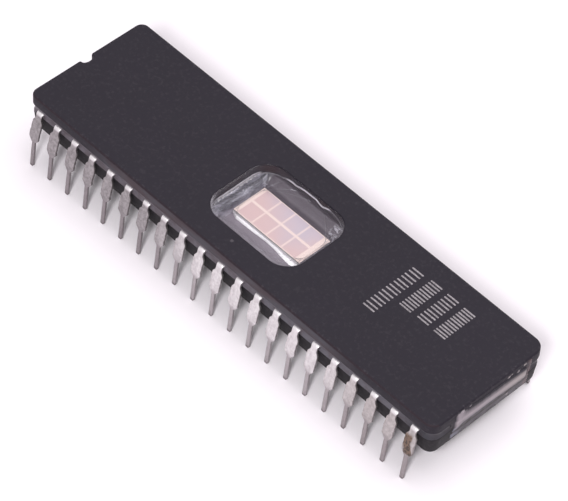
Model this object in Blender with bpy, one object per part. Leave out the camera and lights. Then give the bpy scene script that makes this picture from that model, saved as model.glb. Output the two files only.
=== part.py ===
"""Windowed ceramic dual in-line chip: two pressed ceramic plates sealed with glass round a
lead frame, with a glass window over the silicon die.

Metres, +Z up. X runs along the package, with the notch at -X. Leads 1 to 21 stand along -Y
and leads 22 to 42 along +Y. The origin lies under the middle of the package, on the plane
that the lead tips stand on.
"""

import math

import bmesh
import bpy
from mathutils import Vector

MM = 0.001

# Ceramic package
BODY_LENGTH = 54.6 * MM
BODY_WIDTH = 14.7 * MM
CAP_THICKNESS = 1.25 * MM
SEAL_THICKNESS = 1.0 * MM
BASE_THICKNESS = 2.04 * MM
UNDERSIDE_HEIGHT = 3.9 * MM
PLAN_CORNER = 1.25 * MM
NOTCH_END_CORNER = 0.9 * MM
CAP_TOP_ROUND = 0.25 * MM
CAP_LOWER_ROUND = 0.08 * MM
BASE_INSET = 0.08 * MM
BASE_DRAFT = 0.22 * MM
BASE_TOP_ROUND = 0.1 * MM
BASE_LOWER_ROUND = 0.2 * MM
NOTCH_RADIUS = 0.66 * MM
NOTCH_DEPTH = 0.6 * MM
NOTCH_LIP = 0.25 * MM
NOTCH_Y = -0.1 * MM
FIT = 0.015 * MM

# Window
WINDOW_CORNER = 2.3 * MM
WINDOW_X = -0.3 * MM
WINDOW_Y = -0.15 * MM
LENS_RECESS = 0.06 * MM
LENS_CROWN = 0.12 * MM
LENS_SLOPE_WIDTH = 1.5 * MM
LENS_SLOPE_STEPS = 4

# Cavity, die and die attach
CAVITY_END_MARGIN = 0.725 * MM
CAVITY_SIDE_MARGIN = 1.26 * MM
CAVITY_CORNER = 0.8 * MM
CAVITY_DEPTH = 0.6 * MM
DIE_LENGTH = 8.95 * MM
DIE_WIDTH = 4.08 * MM
DIE_THICKNESS = 0.4 * MM
DIE_X = -0.45 * MM
DIE_Y = 0.75 * MM
ATTACH_THICKNESS = 0.07 * MM
ATTACH_MARGIN = 0.1 * MM
ATTACH_RUNOUT = 0.35 * MM
ATTACH_RUNOUT_TAPER = 0.8 * MM

# Seal glass
SEAL_RECESS = 0.18 * MM
SEAL_OPENING_CORNER = 1.5 * MM
BEAD_LENGTH = 9.7 * MM
BEAD_Y = 0.35 * MM
BEAD_PROUD = 0.18 * MM
BEAD_ABOVE_SEAL = 0.45 * MM
BEAD_BELOW_SEAL = 0.42 * MM
BEAD_FILM_PROUD = 0.07 * MM
BEAD_FILM_END = 0.3 * MM
BEAD_END_RUN = 0.5 * MM

# Lead frame
LEADS_PER_SIDE = 21
LEAD_PITCH = 2.54 * MM
LEAD_ROW_SHIFT = -0.245 * MM
LEAD_THICKNESS = 0.25 * MM
LEAD_RISE = 0.535 * MM
SHOULDER_WIDTH = 0.86 * MM
NECK_WIDTH = 0.74 * MM
LEG_WIDTH = 1.27 * MM
TIP_WIDTH = 0.44 * MM
BEND_RADIUS = 0.27 * MM
BEND_CLEARANCE = 0.01 * MM
NECK_DROP = 0.3 * MM
SWELL_DROP = 0.5 * MM
KNEE_HEIGHT = 4.1 * MM
TAPER_TOP = 3.6 * MM
TAPER_BOTTOM = 3.0 * MM
LEG_FLARE = math.radians(13.0)
TIP_FLARE = math.radians(5.2)
SPRUNG_LEADS = 4
SPRUNG_FLARE = math.radians(16.0)
ROOT_DEPTH = 1.08 * MM
ROOT_RUN = 0.5 * MM

# Inner fingers and bond wires
FINGER_ROOT_WIDTH = 0.5 * MM
FINGER_TIP_WIDTH = 0.28 * MM
FINGER_BARE_LENGTH = 0.45 * MM
SHELF_AT_ENDS = 0.7 * MM
SHELF_AT_SIDES = 0.9 * MM
WINDOW_SHORT_OF_TIPS = 0.075 * MM
WINDOW_PAST_TIPS = 0.225 * MM
END_FINGERS = 7
END_FINGER_SPARE = 0.35 * MM
SIDE_FINGER_SPARE = 0.95 * MM
WIRE_DIAMETER = 0.05 * MM
WIRE_RISE = 0.12 * MM
WIRE_FOOT = 0.2 * MM
PAD_INSET = 0.18 * MM
PAD_SPARE = 0.14 * MM

# Facets
CORNER_STEPS = 5
EDGE_STEPS = 2
NOTCH_STEPS = 10
BEND_STEPS = 5
SWELL_STEPS = 4
BEAD_STEPS = 6
WIRE_STEPS = 5
WIRE_SIDES = 6

# Sizes that follow from the sizes above
CAVITY_LENGTH = DIE_LENGTH + 2 * CAVITY_END_MARGIN
CAVITY_WIDTH = DIE_WIDTH + 2 * CAVITY_SIDE_MARGIN
FINGER_TIP_X = CAVITY_LENGTH / 2 + SHELF_AT_ENDS
FINGER_TIP_Y = CAVITY_WIDTH / 2 + SHELF_AT_SIDES
SIDE_FINGERS = LEADS_PER_SIDE - 2 * END_FINGERS
END_FINGER_PITCH = (FINGER_TIP_Y - END_FINGER_SPARE) / END_FINGERS
SIDE_FINGER_PITCH = (FINGER_TIP_X - SIDE_FINGER_SPARE) * 2 / (SIDE_FINGERS - 1)
PAD_PITCH = (DIE_WIDTH - 2 * PAD_SPARE) / (LEADS_PER_SIDE + 1)
SEAL_OPENING_LENGTH = 2 * (FINGER_TIP_X + FINGER_BARE_LENGTH)
SEAL_OPENING_WIDTH = 2 * (FINGER_TIP_Y + FINGER_BARE_LENGTH)
WINDOW_LENGTH = 2 * (FINGER_TIP_X - WINDOW_SHORT_OF_TIPS)
WINDOW_WIDTH = 2 * (FINGER_TIP_Y + WINDOW_PAST_TIPS)
BEND_START_Y = BODY_WIDTH / 2 - SEAL_RECESS + BEND_CLEARANCE
ROOT_Y = BEND_START_Y - ROOT_DEPTH
BASE_TOP = UNDERSIDE_HEIGHT + BASE_THICKNESS
CAP_BOTTOM = BASE_TOP + SEAL_THICKNESS
CAP_TOP = CAP_BOTTOM + CAP_THICKNESS
LEAD_LEVEL = BASE_TOP + LEAD_RISE
CAVITY_FLOOR = BASE_TOP - CAVITY_DEPTH
DIE_BOTTOM = CAVITY_FLOOR + FIT + ATTACH_THICKNESS + FIT
DIE_TOP = DIE_BOTTOM + DIE_THICKNESS


def material(name, colour, roughness, metallic=0.0, alpha=1.0):
    made = bpy.data.materials.new(name)
    made.use_nodes = True
    shader = made.node_tree.nodes["Principled BSDF"]
    shader.inputs["Base Color"].default_value = (*colour, 1.0)
    shader.inputs["Roughness"].default_value = roughness
    shader.inputs["Metallic"].default_value = metallic
    shader.inputs["Alpha"].default_value = alpha
    return made


def place(name, mesh, home, look=None, location=(0, 0, 0), turn=0.0, parent=None):
    """Puts a mesh into the scene as a named object in the collection home."""
    made = bpy.data.objects.new(name, mesh)
    home.objects.link(made)
    made.location = location
    made.rotation_euler = (0, 0, turn)
    made.parent = parent
    if look is not None:
        mesh.materials.clear()
        mesh.materials.append(look)
    else:
        made.hide_render = True
        made.display_type = "WIRE"
    return made


def mesh_of(bm, name):
    bmesh.ops.recalc_face_normals(bm, faces=bm.faces)
    mesh = bpy.data.meshes.new(name)
    bm.to_mesh(mesh)
    bm.free()
    return mesh


def smooth(mesh, angle=math.radians(35.0)):
    mesh.shade_smooth()
    mesh.set_sharp_from_angle(angle=angle)


def level_edges(bm, height):
    """The edges that lie in the horizontal plane at this height."""
    return [e for e in bm.edges if all(abs(v.co.z - height) < FIT / 2 for v in e.verts)]


def rounded_block(
    length, width, height, corner, start_corner=None, draft=0.0, top_round=0.0, lower_round=0.0
):
    """A block standing on z = 0, with round upright corners, tapering by draft towards its foot.

    start_corner is the radius of the two corners at -X, where it differs from the others.
    """
    bm = bmesh.new()
    bmesh.ops.create_cube(bm, size=1.0)
    bmesh.ops.scale(bm, vec=(length, width, height), verts=bm.verts)
    bmesh.ops.translate(bm, vec=(0, 0, height / 2), verts=bm.verts)
    for side, radius in ((1, corner), (-1, start_corner or corner)):
        upright = [
            e
            for e in bm.edges
            if abs(e.verts[0].co.z - e.verts[1].co.z) > height / 2
            and all(v.co.x * side > length / 2 - FIT for v in e.verts)
        ]
        bmesh.ops.bevel(
            bm, geom=upright, offset=radius, segments=CORNER_STEPS, profile=0.5, affect="EDGES"
        )
    foot = [v for v in bm.verts if v.co.z < height / 2]
    bmesh.ops.scale(bm, vec=(1 - 2 * draft / length, 1 - 2 * draft / width, 1), verts=foot)
    for level, radius in ((height, top_round), (0.0, lower_round)):
        if radius > 0:
            bmesh.ops.bevel(
                bm,
                geom=level_edges(bm, level),
                offset=radius,
                segments=EDGE_STEPS,
                profile=0.5,
                affect="EDGES",
            )
    return bm


def prism(outline, bottom, top):
    """A flat outline raised from z = bottom to z = top."""
    bm = bmesh.new()
    face = bm.faces.new([bm.verts.new((x, y, bottom)) for x, y in outline])
    raised = bmesh.ops.extrude_face_region(bm, geom=[face])["geom"]
    corners = [v for v in raised if isinstance(v, bmesh.types.BMVert)]
    bmesh.ops.translate(bm, vec=(0, 0, top - bottom), verts=corners)
    return bm


def loft(rings):
    """A closed skin through rings of equal point counts, capped at the first and the last."""
    bm = bmesh.new()
    loops = [[bm.verts.new(point) for point in ring] for ring in rings]
    count = len(loops[0])
    for near, far in zip(loops, loops[1:]):
        for i in range(count):
            j = (i + 1) % count
            bm.faces.new((near[i], near[j], far[j], far[i]))
    bm.faces.new(loops[0])
    bm.faces.new(loops[-1])
    return bm


def arc(centre_x, centre_y, radius, start, end, steps):
    """Points on a circle from the angle start to the angle end."""
    angles = [start + (end - start) * i / steps for i in range(steps + 1)]
    return [(centre_x + radius * math.cos(a), centre_y + radius * math.sin(a)) for a in angles]


def cut(obj, cutter=None, cutters=None):
    step = obj.modifiers.new("cut", "BOOLEAN")
    step.operation = "DIFFERENCE"
    step.solver = "EXACT"
    if cutters is None:
        step.object = cutter
    else:
        step.operand_type = "COLLECTION"
        step.collection = cutters


def joined(name, mesh, other, home):
    """One mesh for two solids that overlap."""
    first = place(name + "_first", mesh, home)
    second = place(name + "_second", other, home)
    step = first.modifiers.new("join", "BOOLEAN")
    step.operation = "UNION"
    step.solver = "EXACT"
    step.object = second
    bpy.context.view_layer.update()
    graph = bpy.context.evaluated_depsgraph_get()
    union = bpy.data.meshes.new_from_object(first.evaluated_get(graph))
    bpy.data.objects.remove(first)
    bpy.data.objects.remove(second)
    return union


def notch_outline():
    """The index notch in plan, with rounded lips, reaching out past the end of the package."""
    end = -BODY_LENGTH / 2
    middle = end + NOTCH_DEPTH - NOTCH_RADIUS
    beyond = end - BODY_WIDTH / 10
    half = NOTCH_RADIUS + NOTCH_LIP
    lip = max(middle, end + NOTCH_LIP)
    quarter = math.pi / 2
    lower = arc(lip, -half, NOTCH_LIP, 2 * quarter, quarter, EDGE_STEPS + 1)
    bowl = arc(lip, 0.0, NOTCH_RADIUS, -quarter, quarter, NOTCH_STEPS)
    bowl = [(lip + (x - lip) * (end + NOTCH_DEPTH - lip) / NOTCH_RADIUS, y) for x, y in bowl]
    upper = arc(lip, half, NOTCH_LIP, -quarter, -2 * quarter, EDGE_STEPS + 1)
    outline = [(beyond, -half)] + lower + bowl[1:-1] + upper + [(beyond, half)]
    return [(x, y + NOTCH_Y) for x, y in outline]


def lens_mesh():
    """The window glass: a plug in the cap's opening with a low crown."""
    depth = CAP_THICKNESS - LENS_RECESS
    bm = rounded_block(
        WINDOW_LENGTH - 2 * FIT, WINDOW_WIDTH - 2 * FIT, depth, WINDOW_CORNER - FIT
    )
    top = [f for f in bm.faces if f.normal.z > 0.5]
    for i in range(LENS_SLOPE_STEPS):
        done = math.sin(math.pi / 2 * i / LENS_SLOPE_STEPS)
        next_done = math.sin(math.pi / 2 * (i + 1) / LENS_SLOPE_STEPS)
        bmesh.ops.inset_region(
            bm,
            faces=top,
            thickness=LENS_SLOPE_WIDTH / LENS_SLOPE_STEPS,
            depth=0.0,
            use_even_offset=True,
        )
        rim = {v for f in top for v in f.verts}
        bmesh.ops.translate(
            bm, vec=(0, 0, LENS_CROWN * (next_done - done)), verts=list(rim)
        )
    return mesh_of(bm, "window_lens")


def attach_outline():
    """The die attach in plan: the die's own outline and a margin, run out further on one side."""
    right = DIE_LENGTH / 2 + ATTACH_MARGIN
    far = DIE_WIDTH / 2 + ATTACH_MARGIN
    near = -DIE_WIDTH / 2 - ATTACH_RUNOUT
    return [
        (right, far),
        (-right, far),
        (-right, -DIE_WIDTH / 2),
        (-right + ATTACH_RUNOUT_TAPER, near),
        (right - ATTACH_RUNOUT_TAPER / 2, near),
        (right, near + ATTACH_RUNOUT_TAPER / 2),
    ]


def bead_ring(y, share):
    """The end bead's outline in the XZ plane at y, standing proud by a share of its full height."""
    face = BODY_LENGTH / 2
    root = face - SEAL_RECESS - SEAL_THICKNESS / 2
    lean = BASE_DRAFT / BASE_THICKNESS
    base_face = face - BASE_INSET + FIT
    film_foot = UNDERSIDE_HEIGHT + BEAD_FILM_END
    film_top = BASE_TOP - BEAD_BELOW_SEAL
    low, high = BASE_TOP + 3 * FIT, CAP_BOTTOM - 3 * FIT

    def on_base(z):
        return base_face - (BASE_TOP - z) * lean

    edge = FIT + BEAD_FILM_PROUD * share
    inner = [
        (on_base(film_foot), film_foot),
        (on_base(film_top), film_top),
        (base_face, low),
        (root, low),
        (root, high),
        (face + FIT, high),
        (face + FIT, CAP_BOTTOM + BEAD_ABOVE_SEAL),
    ]
    outer = []
    for i in range(BEAD_STEPS + 1):
        angle = math.pi * (0.5 - i / BEAD_STEPS)
        z = (CAP_BOTTOM + BEAD_ABOVE_SEAL + film_top) / 2
        z += (CAP_BOTTOM + BEAD_ABOVE_SEAL - film_top) / 2 * math.sin(angle)
        back = face if z > BASE_TOP else on_base(z)
        outer.append((back + edge + BEAD_PROUD * share * math.cos(angle), z))
    outer.append((on_base(film_foot) + edge, film_foot))
    return [(x, y, z) for x, z in inner + outer]


def bead_mesh():
    """Seal glass that was squeezed out over the middle of the +X end."""
    start, end = BEAD_Y - BEAD_LENGTH / 2, BEAD_Y + BEAD_LENGTH / 2
    stations = [(start, 0.0), (start + BEAD_END_RUN / 3, 0.7), (start + BEAD_END_RUN, 1.0)]
    stations += [(end - BEAD_END_RUN, 1.0), (end - BEAD_END_RUN / 3, 0.7), (end, 0.0)]
    return mesh_of(loft([bead_ring(y, share) for y, share in stations]), "bead")


def finger_tip(order):
    """Where the finger of a lead ends, counted from one end of its row, in the lead frame's plane."""
    from_end = min(order, LEADS_PER_SIDE + 1 - order)
    side = -1 if order <= LEADS_PER_SIDE // 2 else 1
    if from_end <= END_FINGERS:
        return Vector((side * FINGER_TIP_X, -(from_end - 0.5) * END_FINGER_PITCH))
    middle = (LEADS_PER_SIDE + 1) / 2
    return Vector(((order - middle) * SIDE_FINGER_PITCH, -FINGER_TIP_Y))


def row_x(order):
    return (order - (LEADS_PER_SIDE + 1) / 2) * LEAD_PITCH


def leg_flare(order, sprung):
    """The first leads of the front row stand out further than the rest."""
    if not sprung:
        return LEG_FLARE
    share = min(1.0, max(0.0, (SPRUNG_LEADS + 1 - order) / (SPRUNG_LEADS - 1)))
    return LEG_FLARE + (SPRUNG_FLARE - LEG_FLARE) * share


def plan_stations(order):
    """The flat stretch of a lead from its finger's tip to the bend: point, across, width."""
    x = row_x(order)
    tip = finger_tip(order)
    root = Vector((x, -ROOT_Y))
    run = (root - tip).normalized()
    down = Vector((0.0, -1.0))
    across = Vector((-run.y, run.x))
    mitre = (across + Vector((1.0, 0.0))).normalized()
    spread = 1 / max(0.5, mitre.x)
    stations = [
        (tip, across, FINGER_TIP_WIDTH),
        (root, mitre, FINGER_ROOT_WIDTH * spread),
        (root + down * ROOT_RUN, Vector((1.0, 0.0)), SHOULDER_WIDTH),
        (Vector((x, -BEND_START_Y)), Vector((1.0, 0.0)), SHOULDER_WIDTH),
    ]
    up = Vector((0.0, 0.0, 1.0))
    return [(p.to_3d(), a.to_3d(), width, up) for p, a, width in stations]


def leg_stations(order, sprung):
    """The bend and the leg of a lead down to its tip: point, across, width, face direction."""
    flare = leg_flare(order, sprung)
    across = Vector((1.0, 0.0, 0.0))
    x = row_x(order)
    turn = math.pi / 2 - flare
    stations = []
    for i in range(1, BEND_STEPS + 1):
        angle = turn * i / BEND_STEPS
        point = (
            x,
            -BEND_START_Y - BEND_RADIUS * math.sin(angle),
            -BEND_RADIUS * (1 - math.cos(angle)),
        )
        width = SHOULDER_WIDTH + (NECK_WIDTH - SHOULDER_WIDTH) * i / BEND_STEPS
        stations.append((Vector(point), across, width, turn_down(angle)))
    start = stations[-1][0]
    swell_start = start.z - NECK_DROP
    drops = [(swell_start, NECK_WIDTH)]
    for i in range(1, SWELL_STEPS + 1):
        share = 0.5 - 0.5 * math.cos(math.pi * i / SWELL_STEPS)
        drops.append(
            (swell_start - SWELL_DROP * i / SWELL_STEPS, NECK_WIDTH + (LEG_WIDTH - NECK_WIDTH) * share)
        )
    knee = KNEE_HEIGHT - LEAD_LEVEL
    for z, width in drops + [(knee, LEG_WIDTH)]:
        y = start.y - (start.z - z) * math.tan(flare)
        stations.append((Vector((x, y, z)), across, width, turn_down(turn)))
    knee_y = stations[-1][0].y
    for height, width in ((TAPER_TOP, LEG_WIDTH), (TAPER_BOTTOM, TIP_WIDTH), (0.0, TIP_WIDTH)):
        z = height - LEAD_LEVEL
        y = knee_y - (knee - z) * math.tan(TIP_FLARE)
        stations.append((Vector((x, y, z)), across, width, turn_down(math.pi / 2 - TIP_FLARE)))
    level = Vector((0.0, -1.0, 0.0))
    stations[-1] = (*stations[-1][:3], level)
    return stations


def turn_down(angle):
    """The outward direction of a strip that has turned down from level by this angle."""
    return Vector((0.0, -math.sin(angle), math.cos(angle)))


def strip(stations, thickness, extra=0.0):
    """A strip of sheet along the stations, wider than they say by extra on each side."""
    rings = []
    for point, across, width, up in stations:
        side = across * (width / 2 + extra)
        rise = up * (thickness / 2)
        rings.append((point - side - rise, point + side - rise, point + side + rise, point - side + rise))
    return loft(rings)


def wire_mesh(order):
    """The bond wire from a finger's tip, in an arch down to its pad at the die's nearer end."""
    tip = finger_tip(order)
    from_end = min(order, LEADS_PER_SIDE + 1 - order)
    side = -1 if order <= LEADS_PER_SIDE // 2 else 1
    die_x = DIE_X - LEAD_ROW_SHIFT
    pad = Vector((die_x + side * (DIE_LENGTH / 2 - PAD_INSET), DIE_Y - (from_end - 0.5) * PAD_PITCH))
    root = Vector((row_x(order), -ROOT_Y))
    foot = tip + (root - tip).normalized() * WIRE_FOOT
    radius = WIRE_DIAMETER / 2
    low = DIE_TOP + FIT + radius - LEAD_LEVEL
    high = LEAD_THICKNESS / 2
    rings = []
    for i in range(WIRE_STEPS + 1):
        share = i / WIRE_STEPS
        level = high + (low - high) * share ** 2
        arch = WIRE_RISE * 4 * share * (1 - share)
        centre = foot.lerp(pad, share).to_3d() + Vector((0, 0, level + arch))
        heading = (pad - foot).normalized()
        across = Vector((-heading.y, heading.x, 0.0))
        up = Vector((0.0, 0.0, 1.0))
        ring = []
        for j in range(WIRE_SIDES):
            angle = 2 * math.pi * j / WIRE_SIDES
            ring.append(centre + (across * math.cos(angle) + up * math.sin(angle)) * radius)
        rings.append(ring)
    return mesh_of(loft(rings), "wire")


for old in list(bpy.data.objects):
    bpy.data.objects.remove(old)

chip = bpy.data.collections.new("eprom_chip")
tools = bpy.data.collections.new("cutters")
channels = bpy.data.collections.new("lead_channels")
bpy.context.scene.collection.children.link(chip)
bpy.context.scene.collection.children.link(tools)
tools.children.link(channels)

ceramic = material("pressed_ceramic", (0.045, 0.042, 0.046), 0.6)
frit = material("seal_glass", (0.2, 0.19, 0.2), 0.35)
glass = material("window_glass", (0.75, 0.75, 0.78), 0.05, alpha=0.25)
plated = material("plated_lead", (0.72, 0.7, 0.72), 0.35, metallic=0.9)
silicon = material("die_surface", (0.75, 0.6, 0.62), 0.3, metallic=0.3)
silver = material("die_attach", (0.8, 0.79, 0.8), 0.4, metallic=0.4)

lead_frame = bpy.data.objects.new("lead_frame", None)
lead_frame.location = (LEAD_ROW_SHIFT, 0.0, LEAD_LEVEL)
chip.objects.link(lead_frame)

# Cutters: the notch, the window's opening, the die's cavity and the seal's opening
notch = place("notch_cutter", mesh_of(prism(notch_outline(), 0.0, 2 * CAP_TOP), "notch"), tools)
opening = place(
    "window_cutter",
    mesh_of(rounded_block(WINDOW_LENGTH, WINDOW_WIDTH, 3 * CAP_THICKNESS, WINDOW_CORNER), "opening"),
    tools,
    location=(WINDOW_X, WINDOW_Y, CAP_BOTTOM - CAP_THICKNESS),
)
cavity = place(
    "cavity_cutter",
    mesh_of(rounded_block(CAVITY_LENGTH, CAVITY_WIDTH, 2 * CAVITY_DEPTH, CAVITY_CORNER), "cavity"),
    tools,
    location=(LEAD_ROW_SHIFT, 0.0, CAVITY_FLOOR),
)
seal_opening = place(
    "seal_opening_cutter",
    mesh_of(
        rounded_block(SEAL_OPENING_LENGTH, SEAL_OPENING_WIDTH, 3 * SEAL_THICKNESS, SEAL_OPENING_CORNER),
        "seal_opening",
    ),
    tools,
    location=(LEAD_ROW_SHIFT, 0.0, BASE_TOP - SEAL_THICKNESS),
)

# Ceramic base
base = place(
    "ceramic_base",
    mesh_of(
        rounded_block(
            BODY_LENGTH - 2 * BASE_INSET,
            BODY_WIDTH - 2 * BASE_INSET,
            BASE_THICKNESS,
            PLAN_CORNER,
            start_corner=NOTCH_END_CORNER,
            draft=BASE_DRAFT,
            top_round=BASE_TOP_ROUND,
            lower_round=BASE_LOWER_ROUND,
        ),
        "ceramic_base",
    ),
    chip,
    ceramic,
    location=(0, 0, UNDERSIDE_HEIGHT),
)
smooth(base.data)
cut(base, cavity)
cut(base, notch)

# Ceramic cap
cap = place(
    "ceramic_cap",
    mesh_of(
        rounded_block(
            BODY_LENGTH,
            BODY_WIDTH,
            CAP_THICKNESS,
            PLAN_CORNER,
            start_corner=NOTCH_END_CORNER,
            top_round=CAP_TOP_ROUND,
            lower_round=CAP_LOWER_ROUND,
        ),
        "ceramic_cap",
    ),
    chip,
    ceramic,
    location=(0, 0, CAP_BOTTOM),
)
smooth(cap.data)
cut(cap, opening)
cut(cap, notch)

# Window glass
lens = place("window_lens", lens_mesh(), chip, glass, location=(WINDOW_X, WINDOW_Y, CAP_BOTTOM))
smooth(lens.data)

# Die and the silver-loaded layer that holds it
place(
    "die_attach",
    mesh_of(prism(attach_outline(), 0.0, ATTACH_THICKNESS), "die_attach"),
    chip,
    silver,
    location=(DIE_X, DIE_Y, CAVITY_FLOOR + FIT),
)
die_bm = bmesh.new()
bmesh.ops.create_cube(die_bm, size=1.0)
bmesh.ops.scale(die_bm, vec=(DIE_LENGTH, DIE_WIDTH, DIE_THICKNESS), verts=die_bm.verts)
place(
    "silicon_die",
    mesh_of(die_bm, "silicon_die"),
    chip,
    silicon,
    location=(DIE_X, DIE_Y, DIE_BOTTOM + DIE_THICKNESS / 2),
)

# Leads, each with its finger and bond wire, and the channels that they leave in the seal glass
for side in (0, 1):
    for order in range(1, LEADS_PER_SIDE + 1):
        number = order + side * LEADS_PER_SIDE
        flat = plan_stations(order)
        sheet = mesh_of(
            strip(flat + leg_stations(order, sprung=side == 0), LEAD_THICKNESS), "lead"
        )
        place(
            f"lead_{number:02d}",
            joined("lead", sheet, wire_mesh(order), tools),
            chip,
            plated,
            turn=math.pi * side,
            parent=lead_frame,
        )
        past = (flat[-1][0] - Vector((0, SEAL_RECESS, 0)), *flat[-1][1:])
        channel = strip(flat[:-1] + [past], LEAD_THICKNESS + 2 * FIT, extra=FIT)
        place(
            f"channel_{number:02d}",
            mesh_of(channel, "channel"),
            channels,
            turn=math.pi * side,
            parent=lead_frame,
        )

# Seal glass with the bead at its +X end
ring = rounded_block(
    BODY_LENGTH - 2 * SEAL_RECESS,
    BODY_WIDTH - 2 * SEAL_RECESS,
    SEAL_THICKNESS - 2 * FIT,
    PLAN_CORNER,
    start_corner=NOTCH_END_CORNER,
)
bmesh.ops.translate(ring, vec=(0, 0, BASE_TOP + FIT), verts=ring.verts)
seal = place("seal_glass", joined("seal", mesh_of(ring, "ring"), bead_mesh(), tools), chip, frit)
cut(seal, seal_opening)
cut(seal, notch)
cut(seal, cutters=channels)
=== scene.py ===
import math

import bmesh
import bpy
from mathutils import Matrix, Vector, noise


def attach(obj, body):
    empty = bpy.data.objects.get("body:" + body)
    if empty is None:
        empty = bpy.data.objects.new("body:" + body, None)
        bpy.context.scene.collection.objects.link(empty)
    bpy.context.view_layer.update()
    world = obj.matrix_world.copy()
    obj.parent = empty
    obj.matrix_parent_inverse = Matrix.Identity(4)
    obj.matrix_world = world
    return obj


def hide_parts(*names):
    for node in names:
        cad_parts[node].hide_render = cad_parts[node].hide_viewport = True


MM = 0.001

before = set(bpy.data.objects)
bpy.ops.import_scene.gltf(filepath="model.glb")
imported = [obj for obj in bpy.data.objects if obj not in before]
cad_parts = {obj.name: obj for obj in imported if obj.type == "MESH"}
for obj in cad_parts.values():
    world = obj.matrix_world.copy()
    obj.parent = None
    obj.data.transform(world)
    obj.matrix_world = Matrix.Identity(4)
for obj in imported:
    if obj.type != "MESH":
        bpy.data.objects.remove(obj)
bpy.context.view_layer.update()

# The package in millimetres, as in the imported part: the notch at -X, leads 1 to 21 along -Y
BODY_LENGTH, BODY_WIDTH = 54.6, 14.7
UNDERSIDE, BASE_TOP, CAP_BOTTOM, CAP_TOP = 3.9, 5.94, 6.94, 8.19
CORNER, NOTCH_END_CORNER = 1.25, 0.9
NOTCH_RADIUS, NOTCH_DEPTH, NOTCH_LIP, NOTCH_Y = 0.66, 0.6, 0.25, -0.1
BASE_INSET, BASE_DRAFT = 0.08, 0.22

# Length, width and corner radius of each opening. The window has its own middle, as x and y
WINDOW = (11.65, 8.85, 2.3, -0.3, -0.15)
CAVITY = (10.4, 6.6, 0.8)
FRAME_OPENING = (12.7, 9.3, 1.5)
CAVITY_FLOOR = BASE_TOP - 0.6

# Length, width and middle of the die, and its levels
DIE = (8.95, 4.08, -0.45, 0.75)
DIE_BOTTOM = CAVITY_FLOOR + 0.1
DIE_TOP = DIE_BOTTOM + 0.4

# The lead frame: its rows, its inner fingers, and each lead's distances, heights and widths
ROW_SHIFT, PITCH, LEADS = -0.245, 2.54, 21
LEAD_LEVEL, SHEET = 6.475, 0.25
TIP_RING = (5.9, 4.2)
END_FINGERS, END_PITCH, SIDE_PITCH = 7, 0.55, 1.65
ROOT, BEND, BEND_RADIUS, KNEE_HEIGHT = 6.1, 7.18, 0.27, 4.1
SHOULDER_WIDTH, NECK_WIDTH, LEG_WIDTH = 0.86, 0.74, 1.27
NECK_DROP, SWELL_DROP = 0.3, 0.5
WIRE_RADIUS = 0.0125

# The dark and the pale grey of the glass and glaze in the well
WELL_GREY = (0.165, 0.14, 0.17), (0.3, 0.26, 0.312)


# Shader sums
class Signal:
    """A socket in a material's nodes. Sums on it are written as plain expressions."""

    def __init__(self, paint, socket):
        self.paint, self.socket = paint, socket

    def _sum(self, operation, *terms):
        return self.paint.node("Math", {"operation": operation}, dict(enumerate(terms)))

    def __add__(self, other):
        return self._sum("ADD", self, other)

    __radd__ = __add__

    def __mul__(self, other):
        return self._sum("MULTIPLY", self, other)

    __rmul__ = __mul__

    def __sub__(self, other):
        return self._sum("SUBTRACT", self, other)

    def __rsub__(self, other):
        return self._sum("SUBTRACT", other, self)

    def __gt__(self, other):
        return self._sum("GREATER_THAN", self, other)

    def __lt__(self, other):
        return self._sum("LESS_THAN", self, other)

    def at_least(self, other):
        return self._sum("MAXIMUM", self, other)

    def at_most(self, other):
        return self._sum("MINIMUM", self, other)

    def size(self):
        return self._sum("ABSOLUTE", self)

    def wave(self):
        return self._sum("SINE", self)

    def ramp(self, low, high):
        """0 at low, 1 at high, smooth between them. Low may be the greater."""
        settings = {"interpolation_type": "SMOOTHSTEP"}
        return self.paint.node("MapRange", settings, {"Value": self, "From Min": low, "From Max": high})


class Graph:
    """The nodes of a material or of the world."""

    def __init__(self, tree):
        self.nodes, self.links = tree.nodes, tree.links

    def node(self, kind, settings, sockets, output=0):
        made = self.nodes.new("ShaderNode" + kind)
        for name, value in settings.items():
            setattr(made, name, value)
        for name, value in sockets.items():
            self.feed(made.inputs[name], value)
        return Signal(self, made.outputs[output])

    def feed(self, socket, value):
        if isinstance(value, Signal):
            self.links.new(value.socket, socket)
        elif socket.type == "RGBA" and len(value) == 3:
            socket.default_value = (*value, 1.0)
        else:
            socket.default_value = value

    def seen(self):
        """1 for what the lens, a gloss or clear glass shows, 0 for what only lights the object."""
        names = ("Is Camera Ray", "Is Glossy Ray", "Is Transmission Ray")
        lens, gloss, through = [self.node("LightPath", {}, {}, name) for name in names]
        return (lens + gloss + through).at_most(1.0)


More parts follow.
